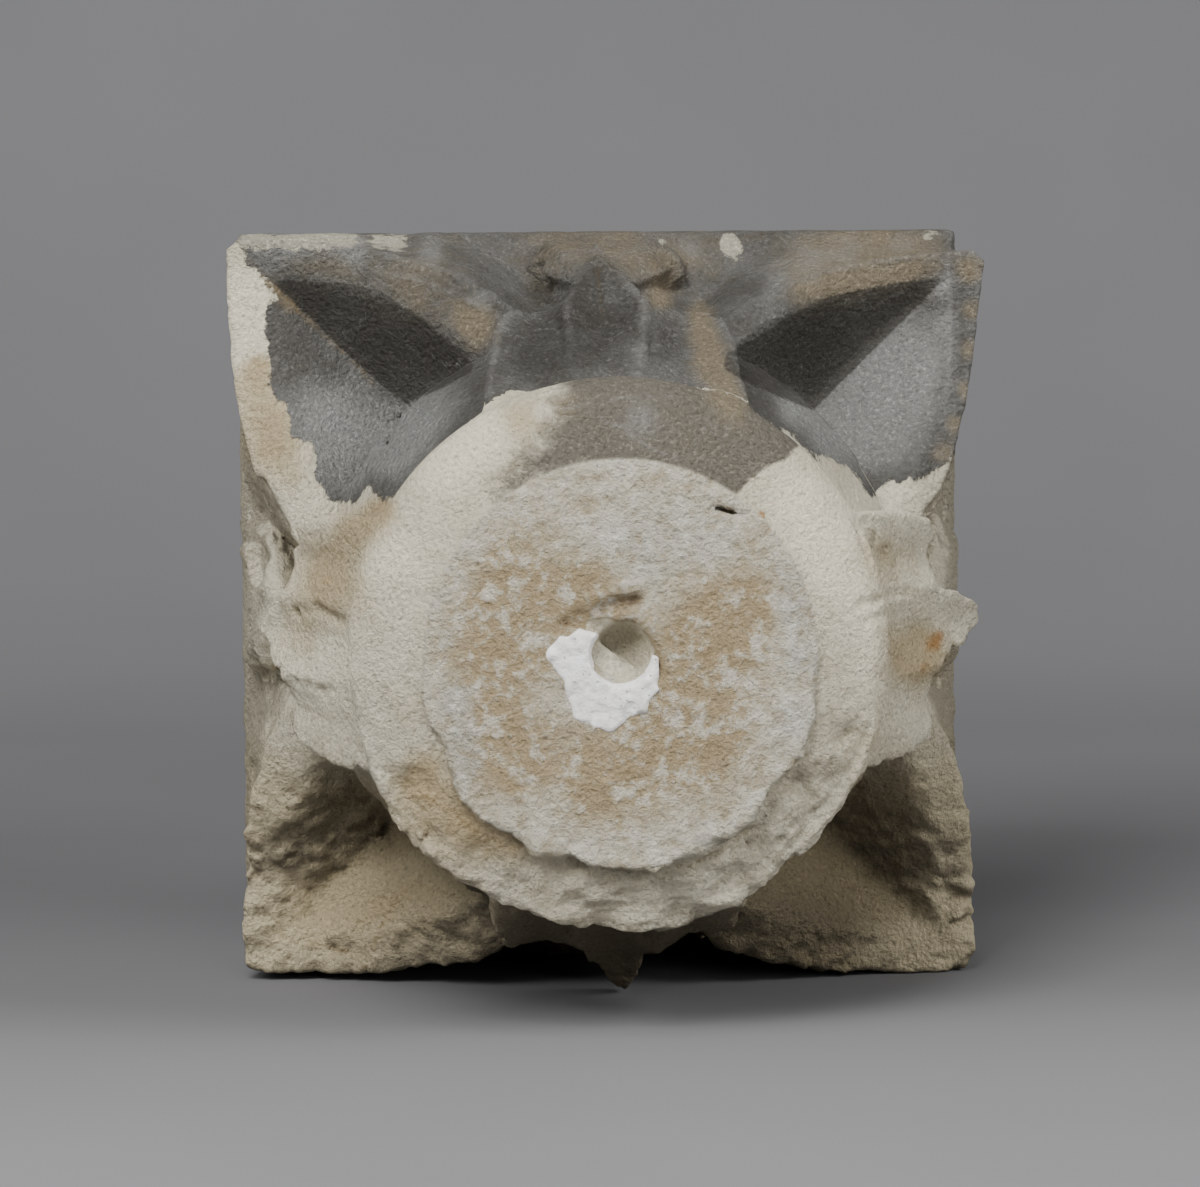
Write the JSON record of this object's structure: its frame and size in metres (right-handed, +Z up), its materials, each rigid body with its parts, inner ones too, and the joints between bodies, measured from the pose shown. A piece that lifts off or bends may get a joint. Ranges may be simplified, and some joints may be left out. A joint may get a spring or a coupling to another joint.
{
  "type": "stone column capital",
  "caption": "Square medieval sandstone capital lying on one side: round bed and ring towards the front, hollow pointed leaves at the corners, lobed leaves between, dowel hole.",
  "frame": {"origin": "centre of the bounding box's footprint on the floor that the capital lies on", "axes": "+Z up from the floor; +Y along the capital's own axis from the round bed to the abacus; +X to the right as seen from the bed"},
  "size_m": [0.3062, 0.24, 0.3027],
  "materials": {
    "sandstone": "matte, weathered, with a dark crust on the upper part",
    "plaster": "matte, rough"
  },
  "bodies": {
    "root": {"capital": "sandstone", "dowel_plaster": "plaster"}
  },
  "joints": []
}
